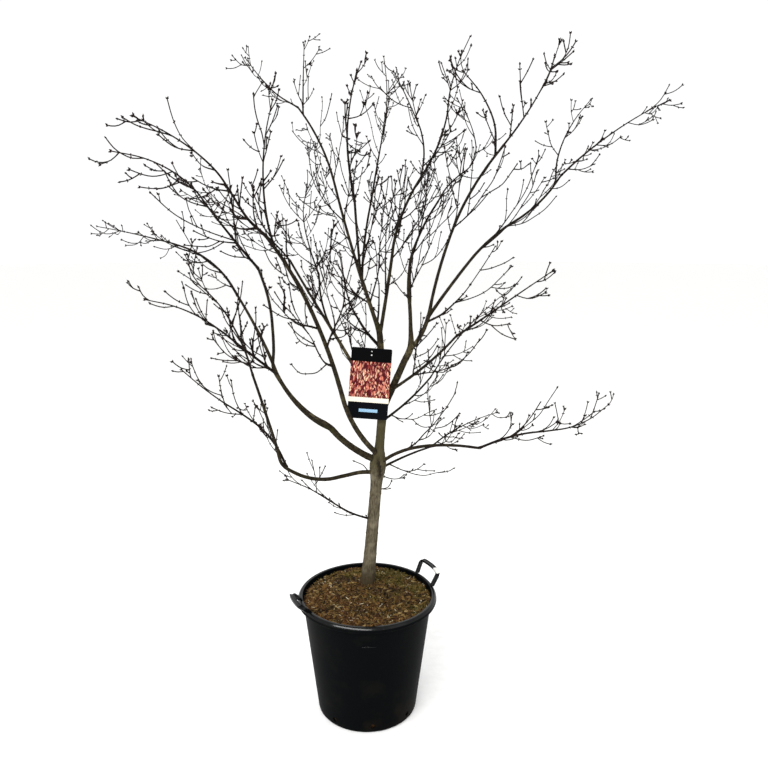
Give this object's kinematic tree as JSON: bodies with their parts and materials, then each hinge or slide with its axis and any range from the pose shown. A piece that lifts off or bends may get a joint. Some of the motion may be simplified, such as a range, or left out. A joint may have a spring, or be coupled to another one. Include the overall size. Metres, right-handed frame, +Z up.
{
  "type": "potted maple tree",
  "caption": "Bare young maple tree: leaning trunk, forking boughs and fine budded twigs, in a round black pot of compost with finger handles and a hanging label",
  "frame": {"origin": "centre of the pot's flat underside, where it stands on the floor", "axes": "+Z up, -Y towards the front as in the picture, +X to the picture's right"},
  "size_m": [2.266, 1.5824, 2.4522],
  "materials": {
    "pot_plastic": "satin black",
    "compost": "loose bark chips and fibre",
    "trunk_bark": "grey-brown bark",
    "bough_bark": "dark olive-brown bark",
    "twigs": "dark brown twigs",
    "printed_card": "printed plastic card",
    "tie_plastic": "black"
  },
  "bodies": {
    "root": {"pot": "pot_plastic", "handle_front_left": "pot_plastic", "handle_rear_right": "pot_plastic", "soil": "compost", "trunk": "trunk_bark", "label": "printed_card", "label_tie": "tie_plastic", "leader": "bough_bark", "right_stem": "bough_bark", "left_stem": "bough_bark", "front_left_bough": "bough_bark", "low_left_bough": "bough_bark", "low_right_bough": "bough_bark", "back_left_bough": "bough_bark", "right_low_back_bough": "bough_bark", "low_right_back_bough": "bough_bark", "low_left_limb": "bough_bark", "left_back_limb": "bough_bark", "left_front_bough": "bough_bark", "left_front_limb": "bough_bark", "back_left_limb": "bough_bark", "back_left_arm": "bough_bark", "top_left_bough": "bough_bark", "top_left_limb": "bough_bark", "front_top_limb": "bough_bark", "back_top_limb": "bough_bark", "top_right_limb": "bough_bark", "right_back_bough": "bough_bark", "right_back_limb": "bough_bark", "right_out_bough": "bough_bark", "right_front_limb": "bough_bark", "right_long_limb": "bough_bark", "right_low_front_bough": "bough_bark", "low_left_twigs": "twigs", "low_left_side_twigs": "twigs", "far_left_twigs": "twigs", "left_bundle_twigs": "twigs", "left_front_twigs": "twigs", "far_left_top_twigs": "twigs", "front_left_twigs": "twigs", "back_left_twigs": "twigs", "back_left_up_twigs": "twigs", "centre_twigs": "twigs", "top_left_twigs": "twigs", "top_left_up_twigs": "twigs", "front_top_twigs": "twigs", "back_top_twigs": "twigs", "peak_twigs": "twigs", "top_right_twigs": "twigs", "right_back_up_twigs": "twigs", "right_back_twigs": "twigs", "right_front_twigs": "twigs", "right_front_inner_twigs": "twigs", "far_right_twigs": "twigs", "far_right_up_twigs": "twigs", "right_low_front_twigs": "twigs", "right_low_back_twigs": "twigs", "low_right_twigs": "twigs", "low_right_back_twigs": "twigs", "trunk_twigs": "twigs"}
  },
  "joints": []
}
